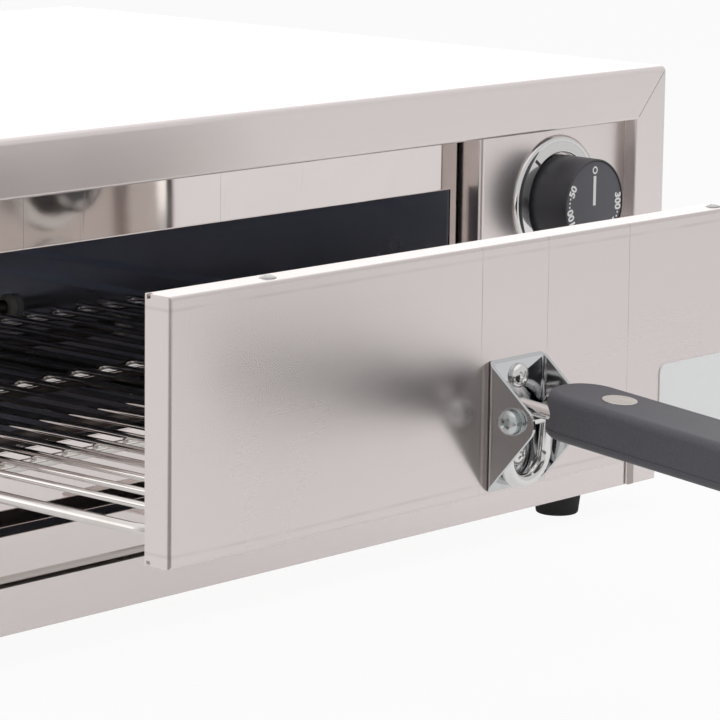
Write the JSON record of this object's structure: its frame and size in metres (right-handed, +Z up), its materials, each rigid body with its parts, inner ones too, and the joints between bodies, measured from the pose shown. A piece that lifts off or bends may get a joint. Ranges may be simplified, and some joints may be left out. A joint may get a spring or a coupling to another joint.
{
  "type": "pizza oven",
  "caption": "Counter-top electric oven with a pull-out wire rack carried by its door, a folding lift handle, dial controls beside the opening and a crumb tray below.",
  "frame": {"origin": "on the surface that the feet stand on, below the middle of the whole part's box with the drawer drawn out as in the picture", "axes": "+X to the right seen from the front, +Y from the front to the back, +Z up"},
  "size_m": [0.4768, 0.6776, 0.191],
  "materials": {
    "brushed_steel": "fine straight brushed grain",
    "bright_steel": "mirror bright rolled sheet",
    "chamber_steel": "dull sheet darkened by heat",
    "plated_steel": "dull zinc plating",
    "chrome_wire": "bright chrome plated wire",
    "element_metal": "oxidised tube",
    "copper_alloy": "plain bare metal",
    "ceramic": "unglazed white ceramic",
    "mineral_wool": "loose mineral fibre",
    "black_plastic": "fine moulded texture",
    "control_plastic": "plain moulded housing",
    "green_lens": "clear ribbed lens",
    "amber_lens": "clear ribbed lens",
    "wire_sleeve": "silicone sleeve",
    "foot_rubber": "dull moulded rubber"
  },
  "bodies": {
    "root": {"outer_casing": "brushed_steel", "base_panel": "brushed_steel", "rear_panel": "brushed_steel", "front_fascia": "bright_steel", "sill_panel": "bright_steel", "control_panel": "bright_steel", "cavity_liner": "chamber_steel", "insulation": "mineral_wool", "heat_shield": "plated_steel", "left_rack_runner": "chamber_steel", "right_rack_runner": "chamber_steel", "left_tray_runner": "plated_steel", "right_tray_runner": "plated_steel", "lower_elements": "element_metal", "upper_elements": "element_metal", "element_insulators": "ceramic", "element_pins": "plated_steel", "element_supports": "chamber_steel", "element_links": "copper_alloy", "thermostat_body": "control_plastic", "thermostat_bulb": "copper_alloy", "capillary_tube": "copper_alloy", "timer_body": "control_plastic", "thermostat_bezel": "chrome_wire", "timer_bezel": "chrome_wire", "power_lamp": "green_lens", "heat_lamp": "amber_lens", "terminal_block": "ceramic", "wiring": "wire_sleeve", "cord_gland": "black_plastic", "gland_locknut": "black_plastic", "feet": "foot_rubber", "foot_screws": "plated_steel", "foot_nuts": "plated_steel", "side_screws": "plated_steel", "rear_screws": "plated_steel"},
    "drawer": {"door_panel": "brushed_steel", "door_cover": "brushed_steel", "door_rivets": "plated_steel", "rack_frame": "chrome_wire", "rack_rods": "chrome_wire", "rack_cross_bars": "chrome_wire", "rack_clips": "plated_steel", "clip_screws": "plated_steel", "blank_plate": "brushed_steel", "handle_bracket": "bright_steel", "bracket_screws": "plated_steel", "bracket_nuts": "plated_steel", "pivot_bolt": "plated_steel", "pivot_flat_washer": "plated_steel", "pivot_spring_washer": "plated_steel", "pivot_nut": "plated_steel"},
    "handle": {"pivot_sleeve": "chrome_wire", "handle_bail": "chrome_wire", "grip_upper": "black_plastic", "grip_lower": "black_plastic", "grip_stud": "chrome_wire"},
    "crumb_tray": {"crumb_tray": "brushed_steel"},
    "thermostat_knob": {"thermostat_knob": "black_plastic"},
    "timer_knob": {"timer_knob": "black_plastic"}
  },
  "joints": [
    {"name": "drawer_slide", "type": "slide", "parent": "root", "child": "drawer", "axis": [0, -1, 0], "range_m": [-0.1602, 0.09]},
    {"name": "crumb_tray_slide", "type": "slide", "parent": "root", "child": "crumb_tray", "axis": [0, -1, 0], "range_m": [0, 0.25]},
    {"name": "handle_fold", "type": "hinge", "parent": "drawer", "child": "handle", "pos_m": [-0.0465, -0.21188, 0.104], "axis": [-1, 0, 0], "range_deg": [0, 60]},
    {"name": "thermostat_turn", "type": "hinge", "parent": "root", "child": "thermostat_knob", "pos_m": [0.1704, -0.0402, 0.1394], "axis": [0, 1, 0], "range_deg": [0, 300]},
    {"name": "timer_turn", "type": "hinge", "parent": "root", "child": "timer_knob", "pos_m": [0.1704, -0.0402, 0.082], "axis": [0, 1, 0], "range_deg": [0, 330]}
  ]
}
